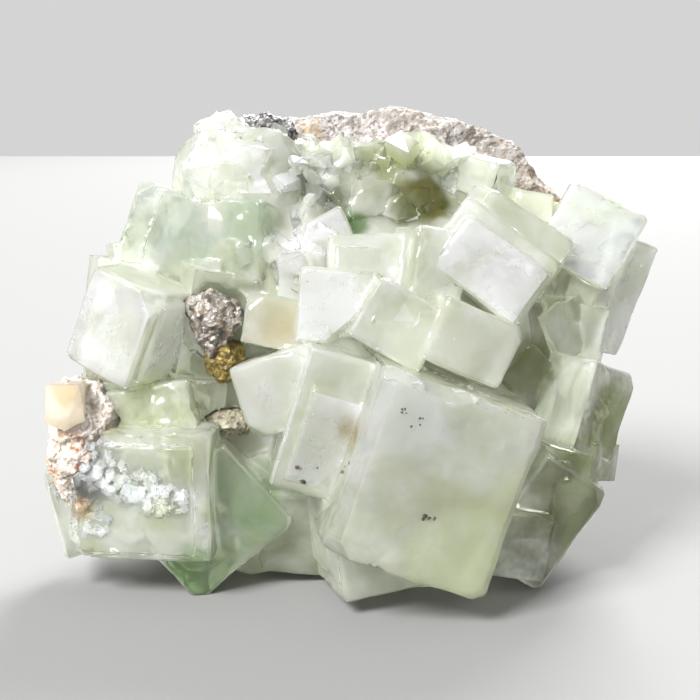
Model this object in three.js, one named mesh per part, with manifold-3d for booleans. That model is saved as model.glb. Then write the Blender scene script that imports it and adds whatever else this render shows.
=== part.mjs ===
// Cluster of intergrown green fluorite cubes on a slab of its matrix rock. A lump of galena, a brassy
// sulphide, a chip of matrix, a dark sulphide and a rust-stained quartz crust are set in the crystals.
// Millimetres. +Z is up, the crystals face -Y, and the cluster rests on z = 0 with the origin under
// its middle.

import * as THREE from "three";
import { mergeVertices } from "three/addons/utils/BufferGeometryUtils.js";
import { ConvexGeometry } from "three/addons/geometries/ConvexGeometry.js";
import { ImprovedNoise } from "three/addons/math/ImprovedNoise.js";
import Module from "manifold-3d";

// ---------------------------------------------------------------- driving dimensions

const CLEARANCE = 0.3; // gap kept between two minerals that touch
const CRYSTAL_EDGE = 0.45; // width that the cube edges are blunted by
const CUT_SPAN = 160; // size of a cutting block, larger than the whole cluster
const MIDDLE = new THREE.Vector3(0.5, -9.3, 0); // middle of the footprint, in the numbers used below

// Each cube: its centre, its width, depth and height, and its turn in whole degrees:
// spin about the vertical, then nod (top toward the front is positive), then lean (top to the
// right is positive). "cleaved" lists corners lost along the octahedral cleavage, and "bevelled"
// lists edges worn or grown flat: each has its side in x, y and z, with 0 along the edge, and how
// deep it goes. A backing crystal that only fills in behind others has sharp edges: "edge: 0".
const CUBES = {
  front: {
    at: [11.8, -26, 22.2], size: [26.4, 27, 29.8], spin: 5, nod: -4, lean: 19,
    bevelled: [[-1, -1, 0, 1.3], [1, -1, 0, 0.8]],
    cleaved: [[-1, -1, -1, 2.6], [1, -1, -1, 1.4]],
  },
  stained: { at: [-3.3, -21, 29.5], size: [15, 18, 23], spin: 6, nod: -2, lean: 17 },
  stainedStep: { at: [-4.5, -21.8, 27.5], size: [10.5, 17, 15.5], spin: 8, nod: -1, lean: 18 },
  clearLeft: {
    at: [-10, -20.5, 34.3], size: [13.5, 14, 12.5], spin: -12, nod: -6, lean: -18,
    cleaved: [[-1, -1, -1, 2], [1, -1, 1, 1.4]],
  },
  shoulder: { at: [-0.5, -17.5, 38], size: [13, 14, 9], spin: 8, nod: -4, lean: 20, edge: 0 },
  striatedFoot: { at: [3.2, -25.5, 10], size: [15, 15, 14.5], spin: 19, nod: 0, lean: -6 },
  footStep: { at: [1.6, -24, 12], size: [13.5, 15.6, 13], spin: 19, nod: 0, lean: -6, edge: 0 },
  footTwin: { at: [10, -22, 9.5], size: [18, 16, 13], spin: 8, nod: -3, lean: 2, edge: 0 },
  underCentre: { at: [-9.5, -15, 9.5], size: [11, 12, 14], spin: 10, nod: 6, lean: 8, edge: 0 },
  underPlate: { at: [-10.5, -12, 16], size: [9, 12, 14], spin: -20, nod: 0, lean: -20, edge: 0 },
  green: {
    at: [-24, -17, 12.2], size: [18, 17, 21], spin: 6, nod: -6, lean: 50,
    cleaved: [[1, -1, 1, 1.2]],
  },
  greenSide: { at: [-18, -12.6, 11.4], size: [13, 14, 17.5], spin: 34, nod: 2, lean: 34, edge: 0 },
  crusted: {
    at: [-33, -19.5, 17.5], size: [23.5, 17, 21.5], spin: -7, nod: -1, lean: 0,
    cleaved: [[-1, -1, -1, 2.2], [1, -1, 1, 0.9]],
  },
  crustedLayer: { at: [-33.8, -20.4, 17], size: [19.5, 16, 18.4], spin: -7, nod: -1, lean: 0 },
  crustedLeft: { at: [-45.4, -17, 12.8], size: [9.5, 12, 13], spin: 14, nod: 0, lean: -14 },
  crustedTop: { at: [-31.5, -17, 29], size: [14, 13, 9], spin: -6, nod: -14, lean: -10 },
  crustedStep: { at: [-27, -14, 31.5], size: [9, 11, 8], spin: 24, nod: 4, lean: 8, edge: 0 },
  left: {
    at: [-34.8, -16, 44.1], size: [13, 18, 16.5], spin: -24, nod: 5, lean: 21,
    cleaved: [[1, -1, 1, 2.2]],
  },
  leftLayer: { at: [-33, -15.2, 43.5], size: [12, 18, 14], spin: -24, nod: 5, lean: 21 },
  leftBack: { at: [-35.5, -8, 43.5], size: [16, 14, 15], spin: 12, nod: 0, lean: 8, edge: 0 },
  leftRidge: { at: [-38, -8, 50], size: [12, 11, 8], spin: 20, nod: -4, lean: 4, edge: 0 },
  underLeft: { at: [-41, -14.5, 34], size: [8.5, 10, 7], spin: 9, nod: 0, lean: 18, edge: 0 },
  upperLeft: {
    at: [-30.6, -5, 56.2], size: [17, 15, 16], spin: 7, nod: -12, lean: 18,
    cleaved: [[-1, -1, 1, 1.6], [-1, 1, 1, 3]],
  },
  upperLeftLayer: { at: [-28, -5.6, 56.4], size: [14, 14.4, 13.5], spin: 7, nod: -12, lean: 18 },
  upperLeftBlock: { at: [-18.5, -7.5, 56], size: [12.5, 13, 14], spin: -21, nod: -12, lean: 3 },
  upperLeftInset: { at: [-23.5, -12.4, 51.5], size: [5, 6, 5], spin: -8, nod: -10, lean: 2, edge: 0 },
  stepOne: { at: [-36.5, -9, 54.5], size: [8, 8, 5], spin: 20, nod: -4, lean: -8, edge: 0 },
  stepTwo: { at: [-35.5, -12.5, 52], size: [6, 6, 4], spin: 8, nod: 4, lean: 10, edge: 0 },
  galenaWall: { at: [-24, -10, 44], size: [14, 12, 18], spin: 30, nod: 0, lean: 12, edge: 0 },
  yellow: {
    at: [-11.5, -16.5, 44], size: [12, 10, 8.5], spin: 0, nod: -12, lean: 10,
    cleaved: [[1, -1, -1, 1.6], [-1, -1, 1, 1.6]],
  },
  whiteTooth: {
    at: [-1.5, -20, 47.5], size: [12.5, 11, 12], spin: -9, nod: -9, lean: 4,
    cleaved: [[1, -1, -1, 4.6]],
  },
  druseBacking: { at: [-5, -10.5, 48], size: [15, 12, 16], spin: 6, nod: 0, lean: 0, edge: 0 },
  whiteWedge: {
    at: [-4.5, -11, 58], size: [9, 8, 6], spin: 10, nod: -10, lean: -28,
    cleaved: [[-1, -1, 1, 1.8]],
  },
  midTop: { at: [6, -13.5, 52.5], size: [19, 13, 9], spin: -2, nod: -26, lean: 0 },
  midLayer: { at: [4, -14.8, 51], size: [14, 12, 7.5], spin: 2, nod: -26, lean: 3, edge: 0 },
  midLedge: { at: [2.5, -17.5, 46], size: [12, 12, 8], spin: 14, nod: -16, lean: -10, edge: 0 },
  scooped: {
    at: [7, -24, 45.5], size: [12.5, 12, 10.5], spin: 2, nod: -10, lean: 29,
    cleaved: [[1, -1, 1, 1.4]],
  },
  centreRight: {
    at: [18, -22, 42.5], size: [14, 14, 10.5], spin: 10, nod: -9, lean: 24,
    cleaved: [[1, -1, 1, 1.4]],
  },
  besideBright: { at: [12.5, -17.5, 53.5], size: [9, 14, 12.5], spin: 14, nod: -8, lean: 8 },
  bright: { at: [23, -17.5, 54.5], size: [19, 12, 12], spin: -7, nod: -7, lean: 37 },
  brightLayer: { at: [22.5, -18.7, 53.2], size: [16.5, 12, 10.5], spin: -7, nod: -7, lean: 37 },
  brightBack: { at: [26, -12, 57], size: [17, 12, 12], spin: 8, nod: -4, lean: 32 },
  backSmall: { at: [23.5, -3, 67.5], size: [8, 7.5, 6.5], spin: -34, nod: 4, lean: 9 },
  backFlat: { at: [31.5, -3, 62.3], size: [7, 8, 5], spin: -6, nod: -4, lean: 7 },
  backStem: { at: [28, -1, 60], size: [14, 10, 11], spin: 12, nod: 0, lean: 20, edge: 0 },
  upperRight: {
    at: [40.5, -7.5, 57.5], size: [14, 13, 14], spin: -9, nod: -5, lean: 29,
    cleaved: [[1, -1, 1, 0.8]],
  },
  rightEdge: { at: [43.2, -2, 48], size: [11, 12, 20.5], spin: 34, nod: 0, lean: 19 },
  rightRough: { at: [36.5, -6.5, 41.5], size: [8.5, 9, 9], spin: 20, nod: 0, lean: -28, edge: 0 },
  rightWall: { at: [35.5, -3, 36], size: [17, 12, 22], spin: -16, nod: 0, lean: 12, edge: 0 },
  oliveNook: { at: [31, -10, 34], size: [9, 10, 8], spin: 0, nod: 0, lean: 45, edge: 0 },
  right: {
    at: [39.2, -14.5, 29.3], size: [9.6, 13, 15.5], spin: -48, nod: -14, lean: 17,
    cleaved: [[1, 1, 1, 1.4], [1, 1, -1, 1]],
  },
  rightLow: { at: [39.6, -14, 20.4], size: [9, 10, 6.5], spin: -38, nod: -9, lean: 9, edge: 0 },
  lowerRight: {
    at: [32.3, -15, 11], size: [12, 16, 20], spin: -4, nod: -2, lean: 34,
    cleaved: [[1, -1, -1, 1], [1, -1, 1, 1.6]],
  },
  flankLeft: { at: [-36, -1, 36], size: [15, 13, 14], spin: 28, nod: 6, lean: -12 },
  flankLeftLow: { at: [-34, -2, 22], size: [14, 14, 13], spin: -20, nod: -8, lean: 24 },
  flankLeftTop: { at: [-28.5, 3, 57], size: [12, 11, 12], spin: -32, nod: 4, lean: -16 },
  flankRight: { at: [36.5, -0.5, 23], size: [14, 17, 15.5], spin: 22, nod: 4, lean: -18 },
  flankRightLow: { at: [30, -2, 12], size: [13, 14, 12], spin: -26, nod: 0, lean: 12 },
  flankRightTop: { at: [38, 3, 47], size: [12, 11, 11], spin: 30, nod: 10, lean: 20 },
  undersideMid: { at: [8, -6, 9], size: [14, 13, 12], spin: 30, nod: 12, lean: -10 },
  undersideLeft: { at: [-14, -3, 8.5], size: [13, 12, 12], spin: -14, nod: 10, lean: 20 },
  undersideRear: { at: [-24, 1, 12], size: [11, 11, 11], spin: 40, nod: 0, lean: 8 },
  lowerRightTwin: { at: [26.4, -19.5, 8.8], size: [11, 13, 10.5], spin: 12, nod: 0, lean: 12, edge: 0 },
};

// Fractured fluorite: patches of broken shards, as a centre, the half size that they spread over,
// the radius of the smallest and largest shard, how many there are and a random seed.
const SHARD_PATCHES = {
  lobeTop: { at: [-19.5, 1, 73], spread: [5, 1.5, 2], radius: [5, 6.5], count: 4, seed: 12 },
  lobeFace: { at: [-22, -3.5, 66.5], spread: [7, 1.5, 3], radius: [5.5, 7.5], count: 5, seed: 3 },
  hollowTop: { at: [3, 1.5, 68.5], spread: [13, 1, 2], radius: [4, 6], count: 8, seed: 23 },
  hollowLow: { at: [0, -5, 61.5], spread: [11, 1.5, 2.5], radius: [4, 5.6], count: 8, seed: 41 },
  oliveWall: { at: [14, -1, 65], spread: [4, 1.5, 3], radius: [4, 5], count: 3, seed: 31 },
  druse: { at: [-11, -12.5, 53], spread: [6, 1.5, 4], radius: [3, 4.4], count: 7, seed: 47 },
  rightNook: { at: [33, -8.5, 45], spread: [4, 1.5, 4], radius: [2.6, 3.6], count: 2, seed: 59 },
};

// Curved breaks scooped out of a crystal: centre and radius of the missing bowl.
const SCOOPS = [
  { at: [8.5, -39.3, 49.5], radius: 10.5 },
  { at: [17, -41.5, 42], radius: 7.3 },
  { at: [2.5, -41.5, 6.5], radius: 4.6 },
];

// Rounded mineral lumps: centre, half sizes, squareness of the outline (2 is an ellipsoid), height
// and spacing of the surface bumps, and how finely the surface is divided. The body, lobe and hollow
// are fluorite, and the contact is the surface that the crystals share with the matrix.
const LUMPS = {
  body: { at: [0, -2, 34], half: [40, 14.5, 29], square: 3, bump: 0.8, cell: 8, detail: 2 },
  lobe: { at: [-18.5, 0, 65], half: [13, 8.5, 12], square: 2.4, bump: 2, cell: 4.4, detail: 1 },
  hollow: { at: [4, 0, 62], half: [17, 7, 9], square: 2.6, bump: 1.6, cell: 3.2, detail: 1 },
  contact: { at: [3, 14, 37], half: [46, 10.5, 46], square: 2.4, bump: 0.9, cell: 9, detail: 3 },
  matrix: { at: [3.5, 12, 37.5], half: [41, 11, 41], square: 2.4, bump: 2.2, cell: 7, detail: 10 },
  galena: { at: [-22, -17, 44.4], half: [5.4, 6, 6.3], square: 2.2, bump: 0.9, cell: 3.2, detail: 3 },
  brassy: { at: [-20.5, -18.5, 38.4], half: [3.4, 4, 3.8], square: 2, bump: 0.7, cell: 2.4, detail: 2 },
  chip: { at: [-20.5, -16.5, 27.2], half: [4.6, 4, 2.2], square: 2.4, bump: 0.5, cell: 2.4, detail: 1 },
  sulphide: { at: [-14.5, 2.5, 75.2], half: [5.6, 4, 2.6], square: 2.2, bump: 0.9, cell: 2.4, detail: 2 },
  crust: { at: [-43.6, -19.5, 24.5], half: [6.2, 8, 10.5], square: 2.4, bump: 1.3, cell: 4, detail: 4 },
};

// The crystals lie in front of this depth, and the matrix reaches past it only inside the contact.
const CRYSTAL_BACK = 9.5;

// The block of pale vein mineral at the top of the crust.
const CRUST_BLOCK = { at: [-44.6, -19.5, 31.6], size: [6.5, 8, 7], spin: 14, nod: -6, lean: 5 };

// Flat breaks across the back and round the edge of the matrix: a point on each and its outward
// direction.
const MATRIX_BREAKS = [
  { at: [0, 21.5, 38], out: [0.06, 1, 0.05] },
  { at: [26, 20, 60], out: [0.35, 0.9, 0.3] },
  { at: [-8, 20.6, 54], out: [-0.14, 1, 0.22] },
  { at: [12, 20.8, 20], out: [0.16, 1, -0.22] },
  { at: [-20, 19, 24], out: [-0.5, 0.85, -0.3] },
  { at: [-20, 14, 66], out: [-0.75, 0.35, 0.7] },
  { at: [36, 12, 26], out: [0.9, 0.2, -0.35] },
  { at: [-32, 12, 30], out: [-1, 0.15, -0.1] },
];

// A shard's corners: how many, how far they are pushed round and in, and their least distance from
// the centre, as shares of a turn of the spiral and of the shard's radius.
const SHARD_CORNERS = 9;
const SPIRAL_TURN = 2.4;
const SPIRAL_PUSH = 0.9;
const SHARD_LEAST = 0.75;
const SHARD_PUSH = 0.35;

// The smaller bumps of a lump: their height and how many fit in one of the larger ones.
const FINE_HEIGHT = 0.5;
const FINE_REPEAT = 2.3;

const SCOOP_DETAIL = 3;
const WELD_DISTANCE = 1e-4;

// ---------------------------------------------------------------- solids

const wasm = await Module();
wasm.setup();
const noise = new ImprovedNoise();

function toSolid(geometry) {
  const shell = geometry.clone();
  shell.deleteAttribute("normal");
  shell.deleteAttribute("uv");
  const merged = mergeVertices(shell, WELD_DISTANCE);
  return new wasm.Manifold(new wasm.Mesh({
    numProp: 3,
    vertProperties: merged.attributes.position.array,
    triVerts: new Uint32Array(merged.index.array),
  }));
}

function toGeometry(solid) {
  const mesh = solid.getMesh();
  const geometry = new THREE.BufferGeometry();
  geometry.setAttribute("position", new THREE.BufferAttribute(mesh.vertProperties, 3));
  geometry.setIndex(new THREE.BufferAttribute(mesh.triVerts, 1));
  const flat = geometry.toNonIndexed();
  flat.computeVertexNormals();
  return flat;
}

function join(solids) {
  return solids.reduce((whole, solid) => whole.add(solid));
}

function cut(solid, tools) {
  return tools.reduce((left, tool) => left.subtract(tool), solid);
}

// Everything beyond a plane, as a block whose near face is the plane.
function beyondPlane(point, outward) {
  const block = new THREE.BoxGeometry(CUT_SPAN, CUT_SPAN, CUT_SPAN);
  block.translate(0, 0, CUT_SPAN / 2);
  const direction = new THREE.Vector3(...outward).normalize();
  const turn = new THREE.Quaternion().setFromUnitVectors(new THREE.Vector3(0, 0, 1), direction);
  block.applyQuaternion(turn);
  block.translate(...point);
  return toSolid(block);
}

const belowFloor = beyondPlane([0, 0, 0], [0, 0, -1]);

function placement({ at, spin = 0, nod = 0, lean = 0 }) {
  const turn = new THREE.Euler(
    THREE.MathUtils.degToRad(nod),
    THREE.MathUtils.degToRad(lean),
    THREE.MathUtils.degToRad(spin),
    "YXZ",
  );
  return new THREE.Matrix4().makeRotationFromEuler(turn).setPosition(...at);
}

// ---------------------------------------------------------------- crystals

// A box whose edges and corners are blunted, as the hull of the corners of its six faces.
function bluntedBox(width, depth, height, edge) {
  const half = [width / 2, depth / 2, height / 2];
  const corners = [];
  for (const face of [0, 1, 2]) {
    for (const sx of [-1, 1]) {
      for (const sy of [-1, 1]) {
        for (const sz of [-1, 1]) {
          const reach = half.map((value, axis) => (axis === face ? value : value - edge));
          corners.push(new THREE.Vector3(sx * reach[0], sy * reach[1], sz * reach[2]));
        }
      }
    }
  }
  return new ConvexGeometry(corners);
}

// A corner or an edge taken off by a plane equally inclined to the faces that meet there.
function takenOff([width, depth, height], [sx, sy, sz, depthOfBreak]) {
  const corner = new THREE.Vector3(sx * width / 2, sy * depth / 2, sz * height / 2);
  const outward = new THREE.Vector3(sx, sy, sz).normalize();
  corner.addScaledVector(outward, -depthOfBreak);
  return beyondPlane(corner.toArray(), outward.toArray());
}

function cube({ size, edge = CRYSTAL_EDGE, cleaved = [], bevelled = [], ...form }) {
  const breaks = [...cleaved, ...bevelled].map((side) => takenOff(size, side));
  return cut(toSolid(bluntedBox(...size, edge)), breaks).transform(placement(form).elements);
}

// Mulberry32 random numbers, so that every build makes the same shards.
function randomFrom(seed) {
  let state = seed;
  return () => {
    state = (state + 0x6d2b79f5) | 0;
    let mixed = Math.imul(state ^ (state >>> 15), 1 | state);
    mixed = (mixed + Math.imul(mixed ^ (mixed >>> 7), 61 | mixed)) ^ mixed;
    return ((mixed ^ (mixed >>> 14)) >>> 0) / 4294967296;
  };
}

// A broken piece: the hull of a few points spread evenly over a sphere and pushed about.
function shard(centre, radius, random) {
  const points = [];
  for (let i = 0; i < SHARD_CORNERS; i += 1) {
    const height = 1 - (2 * (i + 0.5)) / SHARD_CORNERS;
    const around = i * SPIRAL_TURN + random() * SPIRAL_PUSH;
    const reach = Math.sqrt(1 - height * height);
    const length = radius * (SHARD_LEAST + SHARD_PUSH * random());
    points.push(new THREE.Vector3(reach * Math.cos(around), reach * Math.sin(around), height)
      .multiplyScalar(length));
  }
  const geometry = new ConvexGeometry(points);
  geometry.rotateX(random() * Math.PI);
  geometry.rotateZ(random() * Math.PI);
  geometry.translate(...centre);
  return toSolid(geometry);
}

function shardPatch({ at, spread, radius, count, seed }) {
  const random = randomFrom(seed);
  const shards = [];
  for (let i = 0; i < count; i += 1) {
    const centre = at.map((middle, axis) => middle + spread[axis] * (2 * random() - 1));
    shards.push(shard(centre, THREE.MathUtils.lerp(...radius, random()), random));
  }
  return shards;
}

// ---------------------------------------------------------------- lumps

// A superellipsoid with bumps, grown outward by "grow".
function lump({ at, half, square, bump, cell, detail }, grow = 0) {
  const geometry = new THREE.IcosahedronGeometry(1, detail);
  const position = geometry.attributes.position;
  const point = new THREE.Vector3();
  for (let i = 0; i < position.count; i += 1) {
    point.fromBufferAttribute(position, i);
    const outline = [point.x, point.y, point.z]
      .reduce((sum, value, axis) => sum + Math.abs(value / half[axis]) ** square, 0) ** (-1 / square);
    const place = point.clone().multiplyScalar(outline);
    place.divideScalar(cell);
    const coarse = noise.noise(place.x + at[0], place.y, place.z);
    place.multiplyScalar(FINE_REPEAT);
    const fine = noise.noise(place.x, place.y + at[2], place.z);
    point.multiplyScalar(outline + bump * (coarse + FINE_HEIGHT * fine) + grow);
    position.setXYZ(i, point.x + at[0], point.y + at[1], point.z + at[2]);
  }
  return toSolid(geometry);
}

// Where the crystals grew, the matrix ends at the contact surface.
function matrixRock() {
  const ahead = beyondPlane([0, CRYSTAL_BACK + CLEARANCE, 0], [0, -1, 0]);
  const aheadOfContact = cut(ahead, [lump(LUMPS.contact)]);
  const breaks = MATRIX_BREAKS.map(({ at, out }) => beyondPlane(at, out));
  return cut(lump(LUMPS.matrix), [aheadOfContact, ...breaks, belowFloor]);
}

function crustMass(grow = 0) {
  const size = CRUST_BLOCK.size.map((side) => side + 2 * grow);
  return lump(LUMPS.crust, grow).add(cube({ ...CRUST_BLOCK, size }));
}

// ---------------------------------------------------------------- the minerals

const crystalMass = join([
  lump(LUMPS.body),
  lump(LUMPS.lobe),
  lump(LUMPS.hollow),
  ...Object.values(CUBES).map(cube),
  ...Object.values(SHARD_PATCHES).flatMap(shardPatch),
]);

const scoops = SCOOPS.map(({ at, radius }) => {
  const bowl = new THREE.IcosahedronGeometry(radius, SCOOP_DETAIL);
  bowl.translate(...at);
  return toSolid(bowl);
});

const INCLUSIONS = ["galena", "brassy", "chip", "sulphide"];
const inclusionsGrown = INCLUSIONS.map((name) => lump(LUMPS[name], CLEARANCE));

const solids = {
  fluorite_crystals: cut(crystalMass, [
    ...scoops,
    lump(LUMPS.contact, CLEARANCE),
    beyondPlane([0, CRYSTAL_BACK, 0], [0, 1, 0]),
    crustMass(CLEARANCE),
    ...inclusionsGrown,
    belowFloor,
  ]),
  matrix_rock: matrixRock(),
  galena_lump: cut(lump(LUMPS.galena), [lump(LUMPS.brassy, CLEARANCE)]),
  brassy_sulphide: lump(LUMPS.brassy),
  matrix_chip: lump(LUMPS.chip),
  dark_sulphide: cut(lump(LUMPS.sulphide), [lump(LUMPS.contact, CLEARANCE)]),
  quartz_crust: crustMass(),
};

const FINISHES = {
  fluorite_crystals: { color: 0xc3d2b9, roughness: 0.2, metalness: 0 },
  matrix_rock: { color: 0xb3a698, roughness: 0.9, metalness: 0 },
  galena_lump: { color: 0x76736f, roughness: 0.6, metalness: 0.4 },
  brassy_sulphide: { color: 0xa08845, roughness: 0.5, metalness: 0.6 },
  matrix_chip: { color: 0x8d8268, roughness: 0.9, metalness: 0 },
  dark_sulphide: { color: 0x5f5c60, roughness: 0.6, metalness: 0.2 },
  quartz_crust: { color: 0xdcd2c9, roughness: 0.7, metalness: 0 },
};

const group = new THREE.Group();
group.position.copy(MIDDLE).negate();
for (const [name, solid] of Object.entries(solids)) {
  const mesh = new THREE.Mesh(toGeometry(solid), new THREE.MeshStandardMaterial(FINISHES[name]));
  mesh.name = name;
  group.add(mesh);
}

export default group;
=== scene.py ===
"""Looks of a fluorite cluster: pale green intergrown cubes on rock, with galena and a quartz crust.

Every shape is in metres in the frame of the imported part. Places are written in cluster millimetres, the
numbers that the part's source uses, and at() turns them into the frame.
"""

import logging
import math
import random
from dataclasses import dataclass
from enum import Enum
from typing import Any, Callable, Sequence

import bpy
import numpy as np
from mathutils import Matrix, Vector, noise
from mathutils.bvhtree import BVHTree


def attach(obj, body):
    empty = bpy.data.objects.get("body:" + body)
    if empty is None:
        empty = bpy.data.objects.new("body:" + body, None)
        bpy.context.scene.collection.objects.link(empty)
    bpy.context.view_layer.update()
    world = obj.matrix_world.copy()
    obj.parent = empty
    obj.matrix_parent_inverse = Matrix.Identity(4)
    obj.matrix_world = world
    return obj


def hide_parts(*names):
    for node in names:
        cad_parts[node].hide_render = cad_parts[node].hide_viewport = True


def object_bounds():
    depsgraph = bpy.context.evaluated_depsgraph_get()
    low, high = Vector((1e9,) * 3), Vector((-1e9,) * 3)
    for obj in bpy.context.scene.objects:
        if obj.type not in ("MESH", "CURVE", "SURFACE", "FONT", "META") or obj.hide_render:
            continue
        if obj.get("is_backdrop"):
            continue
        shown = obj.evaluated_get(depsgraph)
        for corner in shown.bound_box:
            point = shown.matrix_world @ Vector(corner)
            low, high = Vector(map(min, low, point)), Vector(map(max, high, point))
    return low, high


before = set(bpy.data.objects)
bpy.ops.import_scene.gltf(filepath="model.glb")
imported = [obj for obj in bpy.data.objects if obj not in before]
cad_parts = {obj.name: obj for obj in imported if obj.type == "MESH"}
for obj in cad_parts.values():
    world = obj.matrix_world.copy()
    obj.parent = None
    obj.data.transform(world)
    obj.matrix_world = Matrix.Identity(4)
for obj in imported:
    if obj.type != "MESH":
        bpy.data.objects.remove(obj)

CAD_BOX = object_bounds()
log = logging.getLogger("fluorite_cluster")

MM = 0.001
MIDDLE = Vector((0.5, -9.3, 0.0))  # cluster millimetres that lie at the frame's origin
BODY = "root"

WELD = 0.01 * MM  # points nearer than this are one
WHOLE_TURN = 2 * math.pi
CREASE = 33.0  # degrees: where two faces turn more, the edge between them stays sharp

Triple = tuple[float, float, float]
Range = tuple[float, float]
Colour = tuple[float, float, float]  # linear light, 0 to 1
ScreenColour = tuple[int, int, int]  # 0 to 255
Points = np.ndarray  # one row for each place, in metres
Spot = tuple[Vector, Vector]  # a place on a surface and the way out there


def at(place: Sequence[float]) -> Vector:
    """Turns a place in cluster millimetres into frame metres."""
    return (Vector(place) - MIDDLE) * MM


def linear(colour: Sequence[int]) -> tuple[float, float, float, float]:
    """Turns a 0 to 255 screen colour into a linear RGBA colour."""
    shares = [value / 255 for value in colour]
    return (*[s / 12.92 if s <= 0.04045 else ((s + 0.055) / 1.055) ** 2.4 for s in shares], 1.0)


# ---------------------------------------------------------------- working on meshes


class Bench:
    """The operators and modifiers that shape a piece."""

    @staticmethod
    def only(piece: bpy.types.Object) -> None:
        """Selects one piece alone and makes it active.

        Args:
            piece: the piece.
        """
        bpy.ops.object.select_all(action="DESELECT")
        piece.select_set(True)
        bpy.context.view_layer.objects.active = piece

    @staticmethod
    def copy_of(node: str, name: str) -> bpy.types.Object:
        """Copies a CAD node's mesh into a new piece and welds its loose triangles.

        Args:
            node: name of the CAD node.
            name: name of the new piece.

        Returns:
            The welded copy.
        """
        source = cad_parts[node]
        piece = bpy.data.objects.new(name, source.data.copy())
        piece.data.materials.clear()
        bpy.context.scene.collection.objects.link(piece)
        Bench.edit(piece, lambda: bpy.ops.mesh.remove_doubles(threshold=WELD))
        return piece

    @staticmethod
    def hull_of(corners: Sequence[Triple], name: str) -> bpy.types.Object:
        """Makes a new piece: the convex solid around some corners.

        Args:
            corners: the corners, in cluster millimetres.
            name: name of the new piece.

        Returns:
            The new piece.
        """
        mesh = bpy.data.meshes.new(name)
        mesh.from_pydata([at(corner) for corner in corners], [], [])
        piece = bpy.data.objects.new(name, mesh)
        bpy.context.scene.collection.objects.link(piece)
        Bench.edit(piece, lambda: bpy.ops.mesh.convex_hull())
        return piece

    @staticmethod
    def edit(piece: bpy.types.Object, work: Callable[[], Any]) -> None:
        """Runs one piece of work in edit mode with everything on the piece selected.

        Args:
            piece: the piece that is worked on.
            work: the work, such as one operator.
        """
        Bench.only(piece)
        bpy.ops.object.mode_set(mode="EDIT")
        bpy.ops.mesh.select_all(action="SELECT")
        work()
        bpy.ops.object.mode_set(mode="OBJECT")

    @staticmethod
    def refine(piece: bpy.types.Object, longest: Callable[[Points], Points], rounds: int = 7) -> None:
        """Splits long edges until none is longer than is wanted where it lies.

        Args:
            piece: the piece, in object mode.
            longest: gives the longest edges wanted at some places, all in metres.
            rounds: how many times every edge is looked at.
        """
        mesh = piece.data
        Bench.edit(piece, lambda: bpy.ops.mesh.quads_convert_to_tris(ngon_method="BEAUTY"))
        for _ in range(rounds):
            places = Bench.places(mesh)
            ends = np.empty(len(mesh.edges) * 2, dtype=np.int32)
            mesh.edges.foreach_get("vertices", ends)
            first, last = places[ends[0::2]], places[ends[1::2]]
            long = np.linalg.norm(first - last, axis=1) > longest((first + last) / 2)
            if not long.any():
                break
            mesh.vertices.foreach_set("select", np.zeros(len(mesh.vertices), dtype=bool))
            mesh.polygons.foreach_set("select", np.zeros(len(mesh.polygons), dtype=bool))
            mesh.edges.foreach_set("select", long)
            Bench.only(piece)
            bpy.ops.object.mode_set(mode="EDIT")
            bpy.ops.mesh.select_mode(type="EDGE")
            bpy.ops.mesh.subdivide(number_cuts=1)
            bpy.ops.mesh.select_all(action="SELECT")
            bpy.ops.mesh.quads_convert_to_tris(ngon_method="BEAUTY")
            bpy.ops.object.mode_set(mode="OBJECT")

    @staticmethod
    def places(mesh: bpy.types.Mesh) -> Points:
        """Reads the places of a mesh's points.

        Args:
            mesh: the mesh.

        Returns:
            The places, one row for each point.
        """
        flat = np.empty(len(mesh.vertices) * 3)
        mesh.vertices.foreach_get("co", flat)
        return flat.reshape(-1, 3)

    @staticmethod
    def rest_on_floor(piece: bpy.types.Object) -> None:
        """Lifts the points that lie below the floor up to it.

        Args:
            piece: the piece, in object mode.
        """
        places = Bench.places(piece.data)
        places[:, 2] = np.maximum(places[:, 2], 0.0)
        piece.data.vertices.foreach_set("co", places.ravel())
        piece.data.update()

    @staticmethod
    def modify(piece: bpy.types.Object, kind: str, **settings: Any) -> None:
        """Adds a modifier and applies it.

        Args:
            piece: the piece that is changed.
            kind: the modifier's type.
            **settings: the modifier's own properties.
        """
        Bench.only(piece)
        modifier = piece.modifiers.new(kind.lower(), kind)
        for name, value in settings.items():
            setattr(modifier, name, value)
        bpy.ops.object.modifier_apply(modifier=modifier.name)

    @staticmethod
    def roughen(piece: bpy.types.Object, bumps: "Bumps", group: str = "") -> None:
        """Pushes a piece's surface in and out with one pattern of bumps.

        Args:
            piece: the piece that is roughened.
            bumps: the pattern.
            group: the vertex group that it is kept to, if any.
        """
        texture = bumps.texture(f"{piece.name}_{bumps.kind.value.lower()}")
        Bench.modify(
            piece,
            "DISPLACE",
            texture=texture,
            texture_coords="LOCAL",
            strength=bumps.height * MM,
            mid_level=bumps.middle,
            vertex_group=group,
        )
        bpy.data.textures.remove(texture)


class BumpKind(Enum):
    """Patterns that a broken mineral surface is roughened with."""

    CLOUDS = "CLOUDS"
    CELLS = "VORONOI"


@dataclass(frozen=True)
class Bumps:
    """One pattern of bumps: its kind, its height and spacing in millimetres, and its zero level."""

    kind: BumpKind
    height: float
    spacing: float
    middle: float = 0.5
    depth: int = 3
    square: bool = False

    def texture(self, name: str) -> bpy.types.Texture:
        """Makes the texture that the displace modifier reads.

        Args:
            name: name of the texture.

        Returns:
            The texture.
        """
        made = bpy.data.textures.new(name, self.kind.value)
        made.noise_scale = self.spacing * MM
        if self.kind is BumpKind.CLOUDS:
            made.noise_depth = self.depth
        if self.kind is BumpKind.CELLS:
            made.distance_metric = "CHEBYCHEV" if self.square else "DISTANCE"
        return made


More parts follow.
